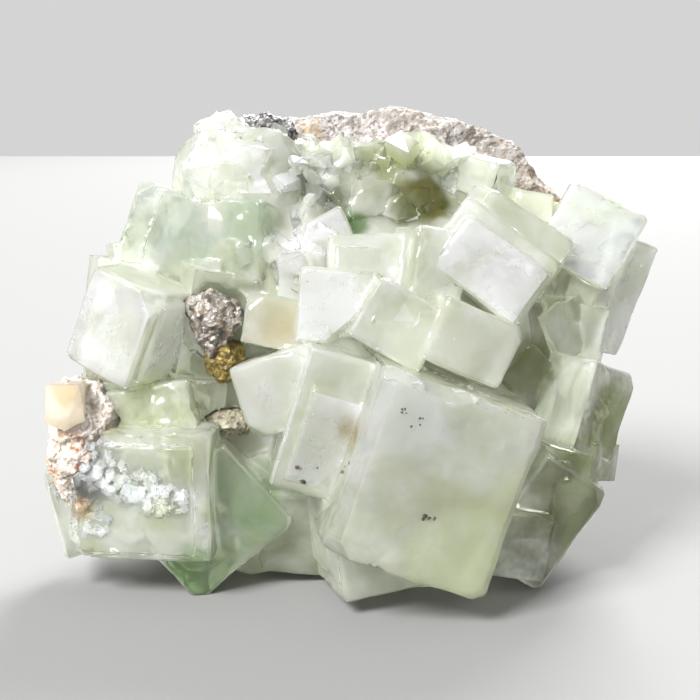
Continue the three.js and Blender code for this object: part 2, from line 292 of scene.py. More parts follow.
CLOUDS, CELLS = BumpKind.CLOUDS, BumpKind.CELLS


# ---------------------------------------------------------------- shader graphs


WARP_SCALE = 0.12  # how many waves of the warping noise a millimetre holds
SOFT_RIM = 0.6  # how much of a colour patch's radius its soft rim takes


class Graph:
    """Builds a material's node tree. A value given to a socket is linked if it is itself a socket."""

    def __init__(self, name: str) -> None:
        """Starts a material that has only its output, and reads the place in cluster millimetres.

        Args:
            name: name of the material.
        """
        self.material = bpy.data.materials.new(name)
        self.material.use_nodes = True
        self.tree = self.material.node_tree
        self.tree.nodes.clear()
        self.output = self.tree.nodes.new("ShaderNodeOutputMaterial")
        metres = self.tree.nodes.new("ShaderNodeTexCoord").outputs["Object"]
        self.place = self.vector("MULTIPLY_ADD", metres, (1 / MM,) * 3, tuple(MIDDLE))

    def add(
        self, kind: str, values: dict[Any, Any] | None = None, **settings: Any
    ) -> bpy.types.ShaderNode:
        """Adds one node.

        Args:
            kind: the node's type, without its "ShaderNode" start.
            values: what each input holds or is linked to, by name or number.
            **settings: the node's own properties.

        Returns:
            The node.
        """
        node = self.tree.nodes.new(f"ShaderNode{kind}")
        for name, value in settings.items():
            setattr(node, name, value)
        for key, value in (values or {}).items():
            socket = node.inputs[key]
            if isinstance(value, bpy.types.NodeSocket):
                self.tree.links.new(value, socket)
            else:
                socket.default_value = value
        return node

    def vector(self, operation: str, *values: Any) -> bpy.types.NodeSocket:
        """Works out a vector."""
        node = self.add("VectorMath", dict(enumerate(values)), operation=operation)
        return node.outputs["Value" if operation == "DISTANCE" else "Vector"]

    def math(self, operation: str, *values: Any, clamp: bool = False) -> bpy.types.NodeSocket:
        """Works out a number."""
        return self.add("Math", dict(enumerate(values)), operation=operation, use_clamp=clamp).outputs[0]

    def part_of(self, amount: Any, value: Any) -> bpy.types.NodeSocket:
        """Multiplies two numbers."""
        return self.math("MULTIPLY", amount, value)

    def share(self, value: Any, low: float, high: float) -> bpy.types.NodeSocket:
        """Goes smoothly from 0 at low to 1 at high."""
        values = {"Value": value, "From Min": low, "From Max": high}
        return self.add("MapRange", values, interpolation_type="SMOOTHSTEP").outputs["Result"]

    def between(self, value: Any, low: float, high: float) -> bpy.types.NodeSocket:
        """Spreads a share from 0 to 1 over the range from low to high."""
        return self.add("MapRange", {"Value": value, "To Min": low, "To Max": high}).outputs["Result"]

    def noise(
        self,
        spacing: float,
        detail: float = 3,
        rough: float = 0.5,
        distortion: float = 0.0,
        place: Any = None,
    ) -> bpy.types.NodeSocket:
        """Soft noise from 0 to 1, with its spacing in millimetres.

        Args:
            spacing: how far apart its bumps lie.
            detail: how many finer layers it has.
            rough: how strong the finer layers are.
            distortion: how much it is warped.
            place: the coordinates that it reads, if they aren't the piece's own.

        Returns:
            The socket.
        """
        values = {"Vector": self.place if place is None else place, "Scale": 1 / spacing}
        values |= {"Detail": detail, "Roughness": rough, "Distortion": distortion}
        return self.add("TexNoise", values).outputs["Fac"]

    def cell_tones(self, spacing: float, metric: str = "EUCLIDEAN") -> bpy.types.ShaderNode:
        """Gives each cell of a pattern, spaced in millimetres, random numbers of its own."""
        cells = self.add("TexVoronoi", {"Vector": self.place, "Scale": 1 / spacing}, distance=metric)
        return self.add("SeparateColor", {0: cells.outputs["Color"]})

    def mix(self, share: Any, first: Any, second: Any) -> bpy.types.NodeSocket:
        """Mixes two colours.

        Args:
            share: how much of the second there is, from 0 to 1.
            first: the first colour or its socket.
            second: the second colour or its socket.

        Returns:
            The mixed colour's socket.
        """
        values = {0: share, 6: first, 7: second}  # by number, because the sockets' names repeat
        return self.add("Mix", values, data_type="RGBA").outputs[2]

    def attribute(self, name: str, part: str = "Fac") -> bpy.types.NodeSocket:
        """Reads the piece's own attribute."""
        return self.add("Attribute", attribute_name=name).outputs[part]

    def stretched(self, turn: Triple, stretch: Triple, warp: float) -> bpy.types.NodeSocket:
        """Turns, stretches and warps the piece's coordinates.

        Args:
            turn: angles about the three axes, in degrees.
            stretch: how long the pattern gets along each axis.
            warp: how far soft noise pushes it about.

        Returns:
            The socket of the new coordinates.
        """
        values = {"Vector": self.place, "Rotation": [math.radians(angle) for angle in turn]}
        values["Scale"] = [1 / size for size in stretch]
        mapped = self.add("Mapping", values).outputs["Vector"]
        shift = self.add("TexNoise", {"Vector": self.place, "Scale": WARP_SCALE, "Detail": 2})
        centred = self.vector("SUBTRACT", shift.outputs["Color"], (0.5, 0.5, 0.5))
        return self.vector("MULTIPLY_ADD", centred, (warp,) * 3, mapped)

    def zone(self, centre: Triple, radius: float) -> bpy.types.NodeSocket:
        """1 inside a ball of cluster millimetres, falling to 0 at its edge."""
        away = self.vector("DISTANCE", self.place, centre)
        return self.share(away, radius, radius * (1 - SOFT_RIM))

    def bump(self, height: Any, millimetres: float, under: Any = None) -> bpy.types.NodeSocket:
        """Turns a height from 0 to 1 into a normal.

        Args:
            height: the height's socket.
            millimetres: how high 1 stands.
            under: the normal that it lies on, if any.

        Returns:
            The normal's socket.
        """
        values = {"Height": height, "Distance": millimetres * MM, "Strength": 1.0}
        if under is not None:
            values["Normal"] = under
        return self.add("Bump", values).outputs["Normal"]

    def finish(
        self, surface: bpy.types.ShaderNode, volume: bpy.types.ShaderNode | None = None
    ) -> bpy.types.Material:
        """Links the shader, and the volume if there is one, to the output.

        Args:
            surface: the surface shader.
            volume: the volume shader, if any.

        Returns:
            The finished material.
        """
        self.tree.links.new(surface.outputs[0], self.output.inputs["Surface"])
        if volume is not None:
            self.tree.links.new(volume.outputs[0], self.output.inputs["Volume"])
        return self.material


# ---------------------------------------------------------------- finishes


class Tone(Enum):
    """Tones of the crystal faces, as screen colours, and how frosted each is. Some stand for light:
    painted shade, and white that is partly a painted reflection.
    """

    # the whitest tone: milky white crystal, and on the bright face and the white tooth a painted
    # reflection of the light
    WHITE = ((251, 250, 255), 0.5)
    FROSTED = ((240, 241, 240), 0.45)
    MIST = ((207, 212, 215), 0.4)
    MILKY = ((226, 229, 214), 0.3)
    PALE = ((214, 219, 200), 0.15)
    STRAW = ((214, 215, 188), 0.15)
    HONEY = ((218, 208, 176), 0.2)
    SAGE = ((196, 204, 178), 0.1)
    GREEN = ((156, 182, 138), 0.05)
    SMOKE = ((174, 178, 160), 0.05)
    # The next two darken faces turned from the light, on the right, in the nook and in the hollow: the
    # olive one is olive crystal darkened as painted shade, the darkest one is painted shade.
    OLIVE_AND_SHADE = ((112, 114, 76), 0.05)
    PAINTED_SHADE = ((72, 75, 54), 0.05)
    ICE = ((206, 207, 206), 0.6)
    PEACH = ((236, 216, 198), 0.3)


@dataclass(frozen=True)
class Tint:
    """A soft patch of colour inside the crystals, a few of them painted shade and one painted light:
    centre and radius in cluster millimetres.
    """

    centre: Triple
    radius: float
    colour: ScreenColour
    amount: float = 0.8


# The crystals' patches of colour: most are their own tones, a few are painted shade and one is painted
# light, as marked below.
CRYSTAL_TINTS_AND_PAINTED_SHADING = (
    Tint((12, -41, 34), 13, (226, 229, 228), 0.75),
    Tint((25.5, -38, 20), 9, (212, 220, 178), 0.7),
    Tint((17, -42, 12), 17, (188, 196, 142), 0.6),
    Tint((-16.5, -14, 60), 7, (160, 190, 160), 0.6),
    Tint((-27, -12, 57), 6, (190, 212, 200), 0.5),
    Tint((12.3, -6.5, 64), 7.5, (112, 110, 52), 1.0),
    # painted shade in the depth of the hollow
    Tint((-2.5, -8, 63), 5, (84, 92, 70), 0.95),
    Tint((-6.5, -7, 66), 4, (150, 153, 152), 0.6),
    # painted light: lightens the front cube's top, where it falls into shade
    Tint((13, -30, 43), 11, (238, 241, 228), 0.8),
    Tint((-42, -28, 5), 6, (176, 182, 116), 0.5),
    Tint((0.8, -9.6, 60.3), 3, (92, 140, 76), 1.0),
    Tint((0.5, -32, 29), 4.8, (164, 146, 102), 0.85),
    Tint((-41.8, -27.3, 18.9), 3.6, (104, 104, 94), 0.9),
    Tint((-43.5, -27, 15.6), 2.6, (188, 154, 98), 0.75),
    Tint((2, -6, 66), 9, (170, 176, 150), 0.5),
    Tint((7.5, -2.8, 70), 6.5, (158, 162, 100), 0.8),
    Tint((9, -7.5, 62), 4.5, (134, 138, 98), 0.8),
    Tint((18, -2, 68.5), 4, (160, 166, 132), 0.6),
    Tint((-9, -5, 68), 5, (156, 164, 146), 0.6),
    Tint((-22, -7, 72), 9, (226, 229, 226), 0.6),
    Tint((-8, -16, 55), 8, (252, 249, 255), 0.9),
    Tint((-29, -20, 45), 8, (250, 250, 250), 0.8),
    Tint((-31, -13, 60), 10, (188, 202, 192), 0.6),
    Tint((-12, -21.5, 44.5), 4, (206, 190, 140), 0.6),
    Tint((-31, -22, 31), 8, (180, 190, 124), 0.55),
    Tint((-27, -28.5, 25), 6, (188, 198, 150), 0.6),
    Tint((-31, -29, 15), 3.5, (180, 186, 120), 0.5),
    # the next two are painted shade over the olive of the lower right and right faces
    Tint((38, -21, 13), 14, (96, 102, 66), 0.9),
    Tint((44, -18, 28), 9, (114, 124, 70), 0.95),
    Tint((36.5, -20, 32), 5, (196, 200, 186), 0.8),
    Tint((30.5, -14, 37), 6.5, (118, 128, 66), 0.85),
    Tint((-24, -27, 5), 8, (118, 160, 90), 0.8),
    Tint((-16, -26, 17), 11, (134, 170, 116), 0.55),
    Tint((-38, -29, 21), 7, (214, 216, 215), 0.8),
    Tint((-31, -29, 18), 5, (214, 216, 215), 0.7),
    Tint((-38, -24, 30), 4, (182, 178, 104), 0.6),
    Tint((-45.5, -27, 35.6), 3.5, (216, 180, 128), 0.6),
)


@dataclass(frozen=True)
class CrystalFinish:
    """Milky pale green fluorite, clear enough to see into. Spacings and relief are in millimetres."""

    frost: ScreenColour = (246, 247, 248)
    clear: ScreenColour = (184, 192, 152)
    clear_amount: float = 0.4
    clear_spacing: float = 11
    clear_range: Range = (0.6, 0.3)
    cloud_spacing: float = 8
    fog: Range = (-0.5, 1.3)
    frosting: float = 0.4
    frosting_range: Range = (0.4, 0.7)
    roughness: Range = (0.03, 0.4)
    transmission: float = 0.64
    ior: float = 1.434
    absorbed: Colour = (0.78, 0.8, 0.6)
    absorption: float = 11.0
    glow: float = 0.75
    glow_reach: float = 9 * MM
    glow_colour: Colour = (0.95, 1.0, 0.85)
    terrace_spacing: float = 9
    terrace_step: float = 0.08
    relief: float = 0.5
    veil_turn: Triple = (12, 24, 60)
    veil_stretch: Triple = (9, 1.8, 14)
    veil_warp: float = 0.8
    veil_amount: float = 0.55
    veil_range: Range = (0.54, 0.78)
    edge_wear_and_sheen: float = 0.85

    def material(self, name: str) -> bpy.types.Material:
        """Makes the crystal material.

        Args:
            name: name of the material.

        Returns:
            The material.
        """
        graph = Graph(name)
        cloud = graph.noise(self.cloud_spacing, detail=3, rough=0.6, distortion=0.5)
        plain = graph.math("SUBTRACT", 1.0, graph.attribute("tinted"))
        white = self.whitening(graph, plain)
        patches = graph.part_of(self.frosting, graph.share(cloud, *self.frosting_range))
        frosted = graph.math("ADD", graph.attribute("frost"), patches, clamp=True)
        terraces = graph.math("SNAP", graph.noise(self.terrace_spacing, detail=1), self.terrace_step)
        values = {
            "Base Color": self.colour(graph, cloud, plain, white),
            "Roughness": graph.between(graph.math("MAXIMUM", frosted, white), *self.roughness),
            "IOR": self.ior,
            "Transmission Weight": self.transmission,
            "Subsurface Weight": self.glow,
            "Subsurface Radius": self.glow_colour,
            "Subsurface Scale": self.glow_reach,
            "Normal": graph.bump(terraces, self.relief),
        }
        surface = graph.add("BsdfPrincipled", values, subsurface_method="BURLEY")
        if not self.absorption:
            return graph.finish(surface)
        depth = {"Color": (*self.absorbed, 1), "Density": self.absorption}
        return graph.finish(surface, graph.add("VolumeAbsorption", depth))

    def colour(self, graph: Graph, cloud: Any, plain: Any, white: Any) -> bpy.types.NodeSocket:
        """Mixes the crystal's own colours with its white fog, its clear patches and its white parts.

        Args:
            graph: the material's graph.
            cloud: the cloudy noise that the fog follows.
            plain: 1 where no patch of colour lies, down to 0 in the middle of one.
            white: where the crystal is white, from 0 to 1.

        Returns:
            The colour's socket.
        """
        fog = graph.math("MULTIPLY", graph.between(cloud, *self.fog), plain, clamp=True)
        colour = graph.mix(fog, graph.attribute("colour", "Color"), linear(self.frost))
        clear = graph.share(graph.noise(self.clear_spacing, detail=2, distortion=0.8), *self.clear_range)
        colour = graph.mix(graph.part_of(self.clear_amount, clear), colour, linear(self.clear))
        return graph.mix(white, colour, linear(self.frost))

    def whitening(self, graph: Graph, plain: Any) -> bpy.types.NodeSocket:
        """Finds where the crystal is white: veils, where no patch of colour lies, and its edges, white
        from wear and as a painted highlight.

        Args:
            graph: the material's graph.
            plain: 1 where no patch of colour lies, down to 0 in the middle of one.

        Returns:
            The socket of a share from 0 to 1.
        """
        place = graph.stretched(self.veil_turn, self.veil_stretch, self.veil_warp)
        streaks = graph.noise(1, detail=3, rough=0.62, place=place)
        veils = graph.part_of(self.veil_amount, graph.share(streaks, *self.veil_range))
        veils = graph.part_of(veils, plain)
        # the edges are whitened as wear and as a painted highlight along them
        return graph.math("MAXIMUM", veils, graph.part_of(self.edge_wear_and_sheen, graph.attribute("edge")))


@dataclass(frozen=True)
class RockFinish:
    """Rough rock speckled with several minerals and stained by rust, with its sizes in millimetres."""

    ground: ScreenColour = (148, 141, 133)
    pale: ScreenColour = (200, 195, 193)
    dark: ScreenColour = (112, 103, 94)
    stain: ScreenColour = (166, 136, 102)
    stained: float = 0.3
    speck_spacing: float = 0.55
    patch_spacing: float = 8
    patch_range: Range = (0.4, 0.66)
    dark_amount: float = 0.7
    dark_range: Range = (0.66, 0.74)
    light_amount: float = 0.6
    light_range: Range = (0.78, 0.84)
    rust_spacing: float = 6
    rust_range: Range = (0.52, 0.7)
    ragged_spacing: float = 1.2
    ragged_slope: float = 5.0
    ragged_drop: float = -2.1
    tint_reach: float = 1.4
    grain_spacing: float = 0.7
    grain_height: float = 0.25
    roughness: Range = (0.95, 0.7)
    tints: tuple[Tint, ...] = ()

    def material(self, name: str) -> bpy.types.Material:
        """Makes the rock material.

        Args:
            name: name of the material.

        Returns:
            The material.
        """
        graph = Graph(name)
        patches = graph.noise(self.patch_spacing, detail=6, rough=0.65, distortion=0.6)
        pale = graph.share(patches, *self.patch_range)
        colour = graph.mix(pale, linear(self.ground), linear(self.pale))
        specks = graph.cell_tones(self.speck_spacing)
        dark = graph.share(specks.outputs[0], *self.dark_range)
        colour = graph.mix(graph.part_of(self.dark_amount, dark), colour, linear(self.dark))
        light = graph.share(specks.outputs[1], *self.light_range)
        colour = graph.mix(graph.part_of(self.light_amount, light), colour, linear(self.pale))
        rust = graph.noise(self.rust_spacing, detail=5, rough=0.7, distortion=1.2)
        rust = graph.share(rust, *self.rust_range)
        colour = graph.mix(graph.part_of(self.stained, rust), colour, linear(self.stain))
        for tint in self.tints:
            ragged = graph.noise(self.ragged_spacing, detail=3)
            ragged = graph.math("MULTIPLY_ADD", ragged, self.ragged_slope, self.ragged_drop)
            inside = graph.zone(tint.centre, tint.radius * self.tint_reach)
            amount = graph.math("MULTIPLY", inside, ragged, clamp=True)
            colour = graph.mix(graph.part_of(tint.amount, amount), colour, linear(tint.colour))
        grain = graph.bump(graph.noise(self.grain_spacing, detail=5, rough=0.7), self.grain_height)
        roughness = graph.between(patches, *self.roughness)
        values = {"Base Color": colour, "Roughness": roughness, "Normal": grain}
        return graph.finish(graph.add("BsdfPrincipled", values))


@dataclass(frozen=True)
class SulphideFinish:
    """Granular metallic sulphide, with small cleavage faces that catch the light and are painted lighter
    and darker one by one as glints; sizes in millimetres.
    """

    bright: ScreenColour = (176, 170, 162)
    dull: ScreenColour = (96, 90, 82)
    tarnish: ScreenColour = (136, 118, 92)
    metal: float = 0.35
    facet_spacing: float = 0.9
    facet_height: float = 0.2
    facet_range: Range = (0.2, 0.9)
    dirt_spacing: float = 2.4
    dirt_amount: float = 0.7
    dirt_range: Range = (0.48, 0.66)
    grain_spacing: float = 0.5
    grain_height: float = 0.12
    roughness: Range = (0.34, 0.8)

    def material(self, name: str) -> bpy.types.Material:
        """Makes the sulphide material.

        Args:
            name: name of the material.

        Returns:
            The material.
        """
        graph = Graph(name)
        # each cleavage face gets its own brightness between dull and bright: partly the grains' own tone
        # and partly painted glints
        tone = graph.cell_tones(self.facet_spacing, metric="CHEBYCHEV").outputs[0]
        colour = graph.mix(graph.share(tone, *self.facet_range), linear(self.dull), linear(self.bright))
        dirt = graph.share(graph.noise(self.dirt_spacing, detail=5, rough=0.7), *self.dirt_range)
        colour = graph.mix(graph.part_of(self.dirt_amount, dirt), colour, linear(self.tarnish))
        metal = graph.part_of(self.metal, graph.math("SUBTRACT", 1.0, dirt))
        fine = graph.bump(graph.noise(self.grain_spacing, detail=4, rough=0.7), self.grain_height)
        values = {
            "Base Color": colour,
            "Metallic": metal,
            "Roughness": graph.between(dirt, *self.roughness),
            "Normal": graph.bump(tone, self.facet_height, fine),
        }
        return graph.finish(graph.add("BsdfPrincipled", values))


@dataclass(frozen=True)
class PlainFinish:
    """A plain studio surface."""

    colour: ScreenColour = (140, 140, 139)
    roughness: float = 0.9
    specular: float = 0.1

    def material(self, name: str) -> bpy.types.Material:
        """Makes the plain material.

        Args:
            name: name of the material.

        Returns:
            The material.
        """
        graph = Graph(name)
        values = {
            "Base Color": linear(self.colour),
            "Roughness": self.roughness,
            "Specular IOR Level": self.specular,
        }
        return graph.finish(graph.add("BsdfPrincipled", values))


Finish = CrystalFinish | RockFinish | SulphideFinish  # what a mineral is dressed in


# ---------------------------------------------------------------- the minerals


def dress(piece: bpy.types.Object, finish: Finish, node: str) -> None:
    """Gives a piece its material, hangs it on the body and hides the CAD node that it stands for.

    Args:
        piece: the finished piece.
        finish: the finish that makes its material.
        node: name of the CAD node that it stands for.
    """
    piece.data.materials.clear()
    piece.data.materials.append(finish.material(piece.name))
    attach(piece, BODY)
    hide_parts(node)
    log.info("%s: %d faces", piece.name, len(piece.data.polygons))


def paint(mesh: bpy.types.Mesh, tones: Sequence[Tone]) -> None:
    """Keeps each face's tone and frosting in the mesh's own attributes.

    Args:
        mesh: the mesh that is painted.
        tones: one tone for each face.
    """
    colours = mesh.attributes.new("tone", "FLOAT_COLOR", "FACE")
    colours.data.foreach_set("color", [part for tone in tones for part in linear(tone.value[0])])
    frost = mesh.attributes.new("frost", "FLOAT", "FACE")
    frost.data.foreach_set("value", [tone.value[1] for tone in tones])


RAGGED = 0.35  # how far a patch's edge wanders, as a share of its radius
RAGGED_SPACING = 5 * MM  # how far apart the bends of the edge lie
RAGGED_LAYERS = (1.0, 2.0, 3)  # fall-off, fineness and number of the layers of its noise


def tint(mesh: bpy.types.Mesh) -> None:
    """Blends the soft patches of colour, painted shade and painted light among them, into the face tones,
    corner by corner.

    The colours are kept in the attribute "colour", and how much of each is a patch's in "tinted".

    Args:
        mesh: a mesh that has been painted.
    """
    tones = np.empty(len(mesh.polygons) * 4)
    mesh.attributes["tone"].data.foreach_get("color", tones)
    sides = np.empty(len(mesh.polygons), dtype=np.int32)
    mesh.polygons.foreach_get("loop_total", sides)
    colours = np.repeat(tones.reshape(-1, 4), sides, axis=0)
    ends = np.empty(len(mesh.loops), dtype=np.int32)
    mesh.loops.foreach_get("vertex_index", ends)
    points = Bench.places(mesh)
    wander = [noise.fractal(Vector(point) / RAGGED_SPACING, *RAGGED_LAYERS) for point in points]
    wander = np.array(wander)[ends]
    places = points[ends]
    tinted = np.zeros(len(places))
    for patch in CRYSTAL_TINTS_AND_PAINTED_SHADING:
        away = np.linalg.norm(places - at(patch.centre), axis=1) / (patch.radius * MM) + RAGGED * wander
        share = np.clip((1 - away) / SOFT_RIM, 0.0, 1.0)
        share = share * share * (3 - 2 * share) * patch.amount
        tinted = np.maximum(tinted, share)
        colours = colours * (1 - share[:, None]) + np.array(linear(patch.colour)) * share[:, None]
    made = mesh.attributes.new("colour", "FLOAT_COLOR", "CORNER")
    made.data.foreach_set("color", colours.ravel())
    mesh.attributes.new("tinted", "FLOAT", "CORNER").data.foreach_set("value", tinted)


@dataclass(frozen=True)
class Facet:
    """One crystal face with a tone of its own, by a point on it in cluster millimetres."""

    name: str
    place: Triple
    tone: Tone


# Faces on the right, in the nook and in the hollow take the darkest tones as painted shade.
FACETS = (
    Facet("front face", (15, -39, 24), Tone.PALE),
    Facet("front bevel", (2.5, -39.5, 28.5), Tone.SMOKE),
    Facet("front left side", (1.5, -37.7, 29.8), Tone.SMOKE),
    Facet("stained face", (-1, -30, 29.5), Tone.WHITE),
    Facet("stained side", (-8, -30.5, 36), Tone.FROSTED),
    Facet("clear left", (-11, -27.5, 33.5), Tone.MILKY),
    Facet("foot front", (-1, -35, 9.5), Tone.PALE),
    Facet("foot side", (-4, -38.5, 14), Tone.SAGE),
    Facet("foot left", (-2.5, -32, 8.5), Tone.MILKY),
    Facet("under centre", (-9, -21.5, 11.5), Tone.SMOKE),
    Facet("green face", (-16.5, -24.5, 19.5), Tone.GREEN),
    Facet("green right", (-12.5, -30.5, 21.5), Tone.SAGE),
    Facet("crusted face", (-32, -28.5, 17.5), Tone.SAGE),
    Facet("crusted side", (-22.5, -29, 14), Tone.PALE),
    Facet("crusted top", (-32.5, -23, 31.5), Tone.SAGE),
    Facet("crusted left", (-46.5, -23.5, 9), Tone.SMOKE),
    Facet("left face", (-36.5, -25, 44.5), Tone.WHITE),
    Facet("left right side", (-30, -22.5, 42.5), Tone.WHITE),
    Facet("left back", (-28, -18.5, 40), Tone.FROSTED),
    Facet("left ridge", (-38, -23.5, 53), Tone.MILKY),
    Facet("upper left face", (-33, -12.5, 61.5), Tone.MIST),
    Facet("upper left block", (-20, -13.5, 57.5), Tone.SAGE),
    Facet("upper left inset", (-25, -15, 54.5), Tone.MIST),
    Facet("lobe top", (-23, -6.5, 72), Tone.FROSTED),
    Facet("lobe middle", (-17, -8, 72), Tone.FROSTED),
    Facet("lobe side", (-26.5, -7, 69), Tone.MILKY),
    Facet("lobe right", (-13.5, -8.5, 65.5), Tone.WHITE),
    Facet("hollow left", (-8.5, -5.5, 68.5), Tone.SMOKE),
    Facet("hollow middle", (-5, -8.5, 64), Tone.SMOKE),
    Facet("hollow floor", (-1, -8, 62), Tone.PAINTED_SHADE),
    Facet("olive wall", (10, -6.5, 65.5), Tone.OLIVE_AND_SHADE),
    Facet("white wedge", (-3.5, -15, 58.5), Tone.WHITE),
    # white here is milky crystal and a painted reflection of the light
    Facet("white tooth", (-1.5, -25, 51), Tone.WHITE),
    Facet("yellow face", (-12, -21.5, 44.5), Tone.HONEY),
    Facet("druse", (-11.5, -17, 53), Tone.WHITE),
    Facet("middle top", (8, -18, 58), Tone.MILKY),
    Facet("scooped face", (8, -29.5, 47), Tone.WHITE),
    Facet("centre right face", (22, -28, 43.5), Tone.MILKY),
    Facet("beside bright", (11, -25.5, 51), Tone.MILKY),
    # this face's white is a painted reflection of the light
    Facet("bright face", (23.5, -24.5, 55.5), Tone.WHITE),
    Facet("bright back", (30, -17.5, 59.5), Tone.MILKY),
    Facet("bright right side", (31, -24, 51), Tone.STRAW),
    Facet("back small face", (23.5, -7.5, 67.5), Tone.PALE),
    Facet("back small top", (24, -3.5, 70.5), Tone.WHITE),
    Facet("back flat face", (30.5, -7, 64), Tone.MILKY),
    Facet("upper right face", (41.5, -14, 59.5), Tone.MIST),
    Facet("upper right under", (39.5, -8.5, 50.5), Tone.STRAW),
    Facet("right edge blade", (48.5, -6, 48), Tone.WHITE),
    Facet("nook roof", (35.5, -11, 45.5), Tone.SAGE),
    Facet("nook wall", (30.5, -15, 36), Tone.OLIVE_AND_SHADE),
    Facet("nook side", (33.5, -10.5, 39.5), Tone.OLIVE_AND_SHADE),
    Facet("nook right", (41, -10.5, 40), Tone.PALE),
    Facet("right left face", (36.5, -20, 32), Tone.SAGE),
    Facet("right right face", (41.5, -19, 28), Tone.OLIVE_AND_SHADE),
    Facet("right lower left", (35.5, -16.5, 22.5), Tone.SAGE),
    Facet("right low face", (42, -18, 17.5), Tone.OLIVE_AND_SHADE),
    Facet("lower right face", (35, -23, 12), Tone.PAINTED_SHADE),
    Facet("lower right twin", (28, -25.5, 5), Tone.PAINTED_SHADE),
)


PATCH_END = 1.1  # where a patch ends, as a share of its half sizes
PATCH_RIM = 0.3  # how wide its rim is, in the same shares


@dataclass(frozen=True)
class Patch:
    """A patch of the surface: its centre and half sizes in cluster millimetres, and how strong it is."""

    centre: Triple
    half: Triple
    depth: float = 1.0

    def share(self, places: Points) -> Points:
        """How far inside the patch some places are: the depth well inside, falling to 0 at the edge."""
        reach = np.linalg.norm((places - at(self.centre)) / (np.array(self.half) * MM), axis=1)
        return self.depth * np.clip((PATCH_END - reach) / PATCH_RIM, 0.0, 1.0)


LOBE = Patch((-20, -3, 71), (13, 9, 9), 0.45)
HOLLOW = Patch((2, -4, 66), (19, 7, 7), 0.8)
DRUSE = Patch((-10, -13, 54), (8, 6, 6), 0.8)
CRUSTED = Patch((-40, -28, 22), (13, 6, 12), 0.5)

FRACTURED = (
    LOBE,
    HOLLOW,
    DRUSE,
    CRUSTED,
    Patch((-28, -8, 50), (5, 8, 4), 0.6),
    Patch((34, -9, 44), (6, 5, 5), 0.75),
    Patch((-9, -18, 12), (5, 6, 8), 0.35),
    Patch((-31, -20, 31), (11, 7, 5), 0.8),
    Patch((-27, -12, 58), (15, 7, 9), 0.42),
    Patch((5, -38, 8), (7, 5, 6), 0.3),
    Patch((22, -37, 34), (9, 6, 7), 0.3),
)


FACE_SWELL = Bumps(CLOUDS, 0.7, 12.0, depth=1)
FACE_STEPS = Bumps(CELLS, 0.6, 8.0, square=True)
EDGE_WEAR = Bumps(CLOUDS, 0.9, 3.0, middle=0.62, depth=2)
LARGE_BREAKS = Bumps(CELLS, 3.4, 7.0, middle=0.4, square=True)
SMALL_BREAKS = Bumps(CELLS, 1.0, 2.4, middle=0.4, square=True)


